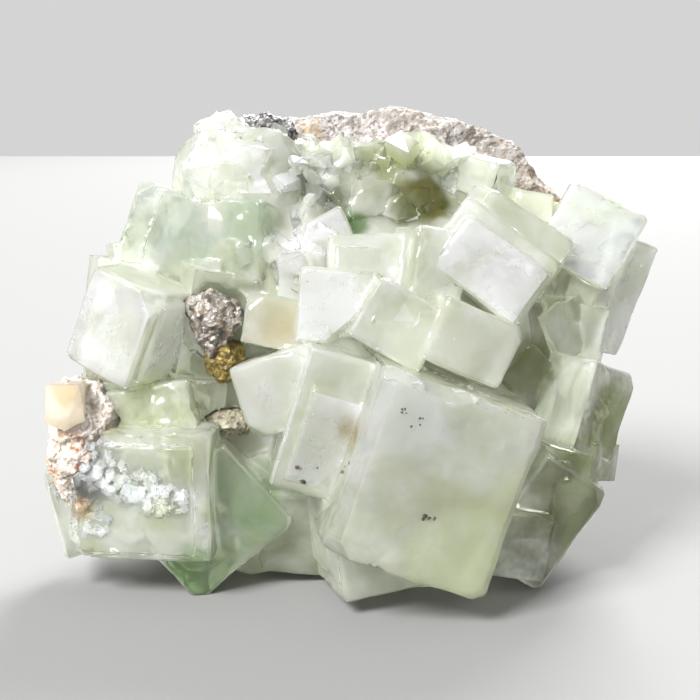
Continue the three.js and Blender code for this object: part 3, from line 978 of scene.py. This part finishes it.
@dataclass
class Crystals:
    """The intergrown fluorite cubes, as one clear piece. Widths and mesh sizes are in millimetres."""

    node: str = "fluorite_crystals"
    name: str = "fluorite_cubes"
    edge_width: float = 0.75
    hidden_tones: tuple[Tone, ...] = (Tone.PALE, Tone.MILKY, Tone.SAGE, Tone.PALE, Tone.STRAW)
    seed: int = 7
    broken_mesh: float = 0.66
    face_mesh: float = 1.45
    back_mesh: float = 2.8
    fractured: tuple[Patch, ...] = FRACTURED
    flatness: float = 0.4  # degrees
    crease: float = CREASE
    fine_from: float = 0.05  # how broken the surface is where the mesh gets fine
    broken_from: float = 0.02  # and where it is pushed about
    finish: CrystalFinish = CrystalFinish()

    def build(self) -> bpy.types.Object:
        """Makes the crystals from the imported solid, with flat faces and marked edges.

        Returns:
            The finished piece.
        """
        piece = Bench.copy_of(self.node, self.name)
        Bench.edit(piece, lambda: bpy.ops.mesh.dissolve_limited(angle_limit=math.radians(self.flatness)))
        self.mark_edges(piece)
        self.tone_faces(piece)
        Bench.refine(piece, self.mesh_size)
        self.group_points(piece)
        Bench.roughen(piece, FACE_SWELL)
        Bench.roughen(piece, FACE_STEPS)
        Bench.roughen(piece, EDGE_WEAR, "worn")
        Bench.roughen(piece, LARGE_BREAKS, "broken")
        Bench.roughen(piece, SMALL_BREAKS, "broken")
        Bench.rest_on_floor(piece)
        Bench.only(piece)
        bpy.ops.object.shade_smooth_by_angle(angle=math.radians(self.crease))
        tint(piece.data)
        dress(piece, self.finish, self.node)
        return piece

    def brokenness(self, places: Points) -> Points:
        """How broken the surface is at some places, from 0 to 1."""
        return np.max([patch.share(places) for patch in self.fractured], axis=0)

    def mesh_size(self, places: Points) -> Points:
        """The longest edges wanted at some places, all in metres."""
        faces = np.where(places[:, 1] < 0, self.face_mesh, self.back_mesh)
        return np.where(self.brokenness(places) > self.fine_from, self.broken_mesh, faces) * MM

    def group_points(self, piece: bpy.types.Object) -> None:
        """Puts the worn edges and the broken patches in vertex groups, where they may be pushed about.

        Args:
            piece: the crystals, in object mode.
        """
        mesh = piece.data
        shares = self.brokenness(Bench.places(mesh))
        broken = piece.vertex_groups.new(name="broken")
        for index in np.flatnonzero(shares > self.broken_from):
            broken.add([int(index)], float(shares[index]), "REPLACE")
        worn = piece.vertex_groups.new(name="worn")
        marks = mesh.attributes["edge"].data
        worn_points = {i for face in mesh.polygons if marks[face.index].value for i in face.vertices}
        worn.add(sorted(worn_points), 1.0, "REPLACE")

    def mark_edges(self, piece: bpy.types.Object) -> None:
        """Marks the narrow faces along the crystal edges in the attribute "edge".

        Args:
            piece: the crystals, in object mode.
        """
        mesh = piece.data
        marks = mesh.attributes.new("edge", "FLOAT", "FACE")
        narrow = []
        for face in mesh.polygons:
            corners = [mesh.vertices[i].co for i in face.vertices]
            rim = sum((a - b).length for a, b in zip(corners, corners[1:] + corners[:1]))
            narrow.append(1.0 if 2 * face.area / rim < self.edge_width * MM / 2 else 0.0)
        marks.data.foreach_set("value", narrow)

    def tone_faces(self, piece: bpy.types.Object) -> None:
        """Gives each face its tone: the named facets their own, and the rest one of a few at random.

        Args:
            piece: the crystals, in object mode.
        """
        mesh = piece.data
        draw = random.Random(self.seed)
        tones = [draw.choice(self.hidden_tones) for _ in mesh.polygons]
        corners = [list(face.vertices) for face in mesh.polygons]
        tree = BVHTree.FromPolygons([point.co for point in mesh.vertices], corners)
        for facet in FACETS:
            _, _, index, away = tree.find_nearest(at(facet.place))
            tones[index] = facet.tone
            log.debug("%s lies %.2f mm off", facet.name, away / MM)
        paint(mesh, tones)


@dataclass
class RoughMineral:
    """A piece of rock or ore, remeshed in voxels of so many millimetres and roughened."""

    node: str
    name: str
    slot: str
    finish: Finish
    voxel: float
    bumps: tuple[Bumps, ...]
    corners: tuple[Triple, ...] = ()

    def build(self) -> bpy.types.Object:
        """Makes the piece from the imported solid, or from its own corners if it has them.

        Returns:
            The finished piece.
        """
        if self.corners:
            piece = Bench.hull_of(self.corners, self.name)
        else:
            piece = Bench.copy_of(self.node, self.name)
        Bench.modify(piece, "REMESH", mode="VOXEL", voxel_size=self.voxel * MM, adaptivity=0)
        for bumps in self.bumps:
            Bench.roughen(piece, bumps)
        Bench.rest_on_floor(piece)
        dress(piece, self.finish, self.node)
        return piece


MATRIX_STAINS = (
    Tint((42, 6, 66), 12, (146, 122, 88), 0.7),
    Tint((-9, 3, 76), 5, (206, 166, 104), 0.8),
    Tint((-20, 22, 30), 16, (160, 128, 92), 0.6),
    Tint((18, 22, 55), 18, (128, 120, 110), 0.6),
)

CRUST_STAINS = (
    Tint((-46, -27, 29), 2.4, (170, 112, 60)),
    Tint((-44, -27.5, 26.6), 1.8, (138, 86, 44)),
    Tint((-42.3, -27.5, 21.8), 2.6, (150, 74, 36), 0.95),
    Tint((-49.7, -22.5, 20.7), 3.0, (190, 132, 70)),
    Tint((-44.5, -27, 18.8), 3.4, (84, 80, 72)),
)

GALENA_CORNERS = (
    (-22.4, -19.6, 50.6), (-16.7, -20.4, 46.6), (-17.6, -21.6, 44.4), (-22.6, -22.0, 39.6),
    (-27.2, -19.8, 48.6), (-26.2, -20.8, 43.6), (-24.2, -22.6, 46.8), (-20.6, -23.2, 45.8),
    (-20.4, -21.4, 49.2), (-19.0, -12.5, 47.5), (-24.5, -12.5, 48.5), (-22.5, -12.5, 40.5),
)

ROUGH_MINERALS = (
    RoughMineral(
        "matrix_rock", "matrix_slab", "matrix", RockFinish(tints=MATRIX_STAINS), 0.6,
        (Bumps(CLOUDS, 3.2, 12.0, depth=1), Bumps(CLOUDS, 2.4, 5.0), Bumps(CLOUDS, 0.9, 1.4, depth=4)),
    ),
    RoughMineral(
        "galena_lump", "galena_mass", "galena", SulphideFinish(), 0.2,
        (Bumps(CLOUDS, 1.2, 3.0, depth=1), Bumps(CELLS, 0.7, 1.4, square=True), Bumps(CLOUDS, 0.4, 0.6)),
        GALENA_CORNERS,
    ),
    RoughMineral(
        "brassy_sulphide", "brassy_grain", "brassy_sulphide",
        SulphideFinish((164, 142, 76), (104, 90, 52), (122, 104, 62), 0.3), 0.18,
        (Bumps(CELLS, 0.9, 1.3, square=True), Bumps(CLOUDS, 0.4, 0.8)),
    ),
    RoughMineral(
        "matrix_chip", "rusty_chip", "matrix_chip",
        RockFinish((142, 134, 112), (186, 180, 160), (86, 80, 64), (150, 118, 72), 0.35, 0.5), 0.2,
        (Bumps(CLOUDS, 0.9, 1.6), Bumps(CLOUDS, 0.4, 0.6)),
    ),
    RoughMineral(
        "dark_sulphide", "dark_grains", "dark_sulphide",
        SulphideFinish((166, 165, 166), (70, 69, 70), (122, 112, 96), 0.45), 0.18,
        (Bumps(CELLS, 2.0, 2.6, square=True), Bumps(CELLS, 0.7, 1.0, square=True)),
    ),
    RoughMineral(
        "quartz_crust", "stained_crust", "quartz_crust",
        RockFinish(
            (206, 196, 184), (230, 224, 218), (172, 156, 138), (198, 156, 108),
            speck_spacing=0.5, tints=CRUST_STAINS,
        ),
        0.22,
        (
            Bumps(CELLS, 2.6, 4.5, square=True),
            Bumps(CELLS, 0.9, 1.4, square=True),
            Bumps(CLOUDS, 0.6, 0.8),
        ),
    ),
)


class Grain(Enum):
    """Shapes of the small grains on the crystals, by how far their corners stray in millimetres."""

    SHARD = 0.34
    CUBE = 0.02
    LUMP = 0.16


SEED_STEP = 20  # how far apart the shaping seeds of two sorts of grain lie


@dataclass(frozen=True)
class Grains:
    """Small grains of one mineral, spread over a few patches of the crystals and joined in one piece.

    Sizes are widths in millimetres and "slender" is the height as a share of the width. "sink" is how
    much of a grain lies in the ground, and "lean" is how far it may tilt, in degrees.
    """

    name: str
    grain: Grain
    patches: tuple[Patch, ...]
    count: int
    sizes: Range
    finish: Finish
    node: str
    slot: str
    sink: float = 0.25
    lean: float = 40.0
    slender: float = 1.0
    evenness: Range = (0.6, 1.0)
    tones: tuple[Tone, ...] = (Tone.WHITE, Tone.FROSTED, Tone.MILKY)
    variants: int = 6
    seed: int = 5

    def build(self, ground: bpy.types.Object) -> bpy.types.Object:
        """Models a few grains, sets copies of them on the ground piece and joins the copies.

        Args:
            ground: the piece that the grains sit on.

        Returns:
            The joined piece.
        """
        draw = random.Random(self.seed)
        models = [self.model(number, draw) for number in range(self.variants)]
        tree = BVHTree.FromObject(ground, bpy.context.evaluated_depsgraph_get())
        copies = []
        for spot in self.spots(tree, draw):
            mesh = self.place(draw.choice(models), spot, draw)
            if self.fits(mesh):
                copies.append(bpy.data.objects.new(self.name, mesh))
                bpy.context.scene.collection.objects.link(copies[-1])
            else:
                bpy.data.meshes.remove(mesh)
        for model in models:
            bpy.data.objects.remove(model)
        Bench.only(copies[0])
        for copy in copies:
            copy.select_set(True)
        bpy.ops.object.join()
        piece = bpy.context.object
        piece.name = self.name
        tint(piece.data)
        dress(piece, self.finish, self.node)
        return piece

    def model(self, number: int, draw: random.Random) -> bpy.types.Object:
        """Models one grain about 1 mm wide.

        Args:
            number: which of the variants it is.
            draw: where the random choices come from.

        Returns:
            The grain, at the origin.
        """
        bpy.ops.object.select_all(action="DESELECT")
        if self.grain is Grain.LUMP:
            bpy.ops.mesh.primitive_ico_sphere_add(subdivisions=2, radius=0.5 * MM)
        else:
            bpy.ops.mesh.primitive_cube_add(size=1 * MM)
        grain = bpy.context.object

        def shape() -> None:
            """Moves the corners about and closes the grain again with flat faces."""
            seed = self.seed * SEED_STEP + number
            bpy.ops.transform.vertex_random(offset=self.grain.value * MM, seed=seed)
            bpy.ops.mesh.convex_hull()

        Bench.edit(grain, shape)
        tone = draw.choice(self.tones)
        paint(grain.data, [tone] * len(grain.data.polygons))
        return grain

    def spots(self, tree: BVHTree, draw: random.Random) -> list[Spot]:
        """Finds places on the ground inside the patches.

        Args:
            tree: the surface of the ground piece.
            draw: where the random choices come from.

        Returns:
            The places, each with the way out there.
        """
        found = []
        for number in range(self.count):
            patch = self.patches[number % len(self.patches)]
            offset = Vector([draw.uniform(-1, 1) * half * MM for half in patch.half])
            place, normal, _, _ = tree.find_nearest(at(patch.centre) + offset)
            if patch.share(np.array([place]))[0] > 0:
                found.append((place, normal))
        return found

    def place(self, model: bpy.types.Object, spot: Spot, draw: random.Random) -> bpy.types.Mesh:
        """Copies a grain's mesh, turned and sized for its spot.

        Args:
            model: the grain that is copied.
            spot: where the copy stands.
            draw: where the random choices come from.

        Returns:
            The copy, in its place.
        """
        place, normal = spot
        size = draw.uniform(*self.sizes) * draw.uniform(*self.evenness)
        turn = normal.to_track_quat("Z", "Y").to_matrix().to_4x4()
        turn @= Matrix.Rotation(draw.uniform(0, WHOLE_TURN), 4, "Z")
        turn @= Matrix.Rotation(math.radians(draw.uniform(-self.lean, self.lean)), 4, "X")
        turn @= Matrix.Diagonal((size, size * draw.uniform(*self.evenness), size * self.slender, 1))
        centre = place + normal * size * MM * self.slender * (0.5 - self.sink)
        mesh = model.data.copy()
        mesh.transform(Matrix.Translation(centre) @ turn)
        return mesh

    def fits(self, mesh: bpy.types.Mesh) -> bool:
        """Whether a grain lies wholly in the part's box."""
        points, (low, high) = Bench.places(mesh), CAD_BOX
        return bool((points >= low).all() and (points <= high).all())


SMALL_GLASS = CrystalFinish(absorption=0.0)  # too small for its depth to colour it


@dataclass(frozen=True)
class PeachBlock:
    """The small peach-stained crystal on the quartz crust, with its mesh size in millimetres."""

    name: str = "peach_block"
    mesh: float = 0.4
    wear: Bumps = Bumps(CELLS, 0.5, 2.5, square=True)
    crease: float = CREASE
    finish: CrystalFinish = CrystalFinish(frost=(240, 226, 212), transmission=0.4, absorption=0.0)
    corners: tuple[Triple, ...] = (
        (-48.6, -26.2, 35.6), (-43.0, -27.6, 36.2), (-42.2, -27.8, 30.4),
        (-45.5, -28.4, 28.6), (-48.8, -27.2, 30.0), (-48.0, -21.0, 35.2),
        (-43.0, -21.5, 35.6), (-43.0, -22.0, 29.5), (-48.4, -21.5, 29.5),
    )

    def build(self) -> bpy.types.Object:
        """Makes the block with slightly worn edges.

        Returns:
            The finished piece.
        """
        piece = Bench.hull_of(self.corners, self.name)
        Bench.refine(piece, lambda places: np.full(len(places), self.mesh * MM))
        Bench.roughen(piece, self.wear)
        Bench.only(piece)
        bpy.ops.object.shade_smooth_by_angle(angle=math.radians(self.crease))
        paint(piece.data, [Tone.PEACH] * len(piece.data.polygons))
        tint(piece.data)
        dress(piece, self.finish, "fluorite_crystals")
        return piece


PALE_CRUST = (
    Patch((-40, -28, 22), (4, 3, 4)),
    Patch((-35, -28.5, 19.5), (5, 3, 3)),
    Patch((-30, -29, 17.5), (4, 3, 2.5)),
    Patch((-42, -27, 14), (3, 4, 3)),
)

DARK_SPECKS = (
    Patch((10, -38, 33), (1.2, 3, 1.4)),
    Patch((8, -39, 35), (0.9, 3, 0.9)),
    Patch((12, -38, 18), (1.5, 3, 0.8)),
    Patch((-1, -32, 26), (3.5, 4, 4)),
    Patch((-7, -30, 22), (2, 4, 2)),
    Patch((-20, -24, 33), (4, 4, 1.5)),
)

MATRIX_RIM = (
    Patch((6, 1, 71), (12, 5, 4)),
    Patch((15, 1, 70), (8, 5, 3)),
    Patch((-8, -1, 72), (6, 5, 4)),
)

GRAINS = (
    Grains(
        "broken_shards", Grain.SHARD, (HOLLOW, DRUSE, Patch((-6, -7, 68), (6, 6, 6))), 45, (1.6, 4.0),
        SMALL_GLASS, "fluorite_crystals", "fluorite", sink=0.5, slender=0.5, seed=3,
    ),
    Grains(
        "hollow_druse", Grain.CUBE, (HOLLOW, DRUSE, Patch((-28, -8, 50), (5, 6, 4))), 80, (0.7, 1.8),
        SMALL_GLASS, "fluorite_crystals", "fluorite", sink=0.45,
        tones=(Tone.FROSTED, Tone.PALE, Tone.MILKY), seed=4,
    ),
    Grains(
        "pale_crust", Grain.SHARD, PALE_CRUST, 420, (0.5, 1.6),
        SMALL_GLASS, "fluorite_crystals", "fluorite", sink=0.6, lean=20, slender=0.7,
        tones=(Tone.ICE, Tone.ICE, Tone.MIST), seed=5,
    ),
    Grains(
        "dark_specks", Grain.LUMP, DARK_SPECKS, 26, (0.5, 1.2),
        SulphideFinish((96, 94, 88), (60, 58, 52), (96, 80, 56)),
        "dark_sulphide", "dark_sulphide", sink=0.6, slender=0.6, seed=13,
    ),
    Grains(
        "rim_druse", Grain.SHARD, MATRIX_RIM, 70, (2.2, 5.2),
        SMALL_GLASS, "fluorite_crystals", "fluorite", sink=0.35, slender=0.7,
        tones=(Tone.PALE, Tone.SMOKE, Tone.MILKY), seed=9,
    ),
)


# ---------------------------------------------------------------- studio


@dataclass
class SoftBox:
    """One soft studio light: place and aim in cluster millimetres, width and power."""

    name: str
    place: Triple
    width: float
    power: float
    colour: Colour = (1.0, 1.0, 1.0)
    aim: Triple = (0, 0, 38)

    def build(self) -> None:
        """Hangs the light."""
        data = bpy.data.lights.new(self.name, "AREA")
        data.shape = "SQUARE"
        data.size = self.width * MM
        data.energy = self.power
        data.color = self.colour
        lamp = bpy.data.objects.new(self.name, data)
        bpy.context.scene.collection.objects.link(lamp)
        lamp.location = at(self.place)
        lamp.rotation_euler = (at(self.aim) - at(self.place)).to_track_quat("-Z", "Y").to_euler()


@dataclass
class Studio:
    """Pale floor, soft light and the camera."""

    floor_width: float = 3.2
    camera_place: Triple = (0, -229.3, 81.0)
    camera_aim: Triple = (0, 0, 36.4)
    lens: float = 67.0
    world_colour: Colour = (0.97, 0.97, 0.98)
    world_strength: float = 0.68
    lights: tuple[SoftBox, ...] = (
        SoftBox("key_light", (-1300, -1500, 1900), 1000, 146),
        SoftBox("back_light", (700, 1900, 1700), 1200, 142),
    )

    def build(self) -> None:
        """Lays the floor, lights the scene and places the camera."""
        self.lay_floor()
        for light in self.lights:
            light.build()
        self.fill_world()
        self.place_camera()
        bpy.context.scene.view_settings.view_transform = "Standard"

    def lay_floor(self) -> None:
        """Lays the pale floor."""
        bpy.ops.object.select_all(action="DESELECT")
        bpy.ops.mesh.primitive_plane_add(size=self.floor_width, location=(0, 0, 0))
        floor = bpy.context.object
        floor.name = "floor"
        floor.data.materials.append(PlainFinish().material("floor"))
        floor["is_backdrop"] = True

    def fill_world(self) -> None:
        """Gives the room its even soft light."""
        world = bpy.data.worlds.new("room")
        world.use_nodes = True
        background = world.node_tree.nodes["Background"]
        background.inputs["Color"].default_value = (*self.world_colour, 1)
        background.inputs["Strength"].default_value = self.world_strength
        bpy.context.scene.world = world

    def place_camera(self) -> None:
        """Places the camera at the height and angle of an eye near the table."""
        data = bpy.data.cameras.new("camera")
        data.lens = self.lens
        data.clip_start = 1 * MM
        camera = bpy.data.objects.new("camera", data)
        bpy.context.scene.collection.objects.link(camera)
        camera.location = at(self.camera_place)
        aim = at(self.camera_aim) - at(self.camera_place)
        camera.rotation_euler = aim.to_track_quat("-Z", "Y").to_euler()
        bpy.context.scene.camera = camera


def write_sizes() -> None:
    """Works out the CAD box and the visual model's box."""
    boxes = {"cad": CAD_BOX, "visual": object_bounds()}
    boxes = {name: [list(corner) for corner in box] for name, box in boxes.items()}


def main() -> None:
    """Builds the cluster and the studio."""
    logging.basicConfig(level=logging.INFO, format="%(name)s: %(message)s")
    Studio().build()
    crystals = Crystals().build()
    for grains in GRAINS:
        grains.build(crystals)
    for mineral in ROUGH_MINERALS:
        mineral.build()
    PeachBlock().build()
    write_sizes()


if __name__ == "__main__":
    main()
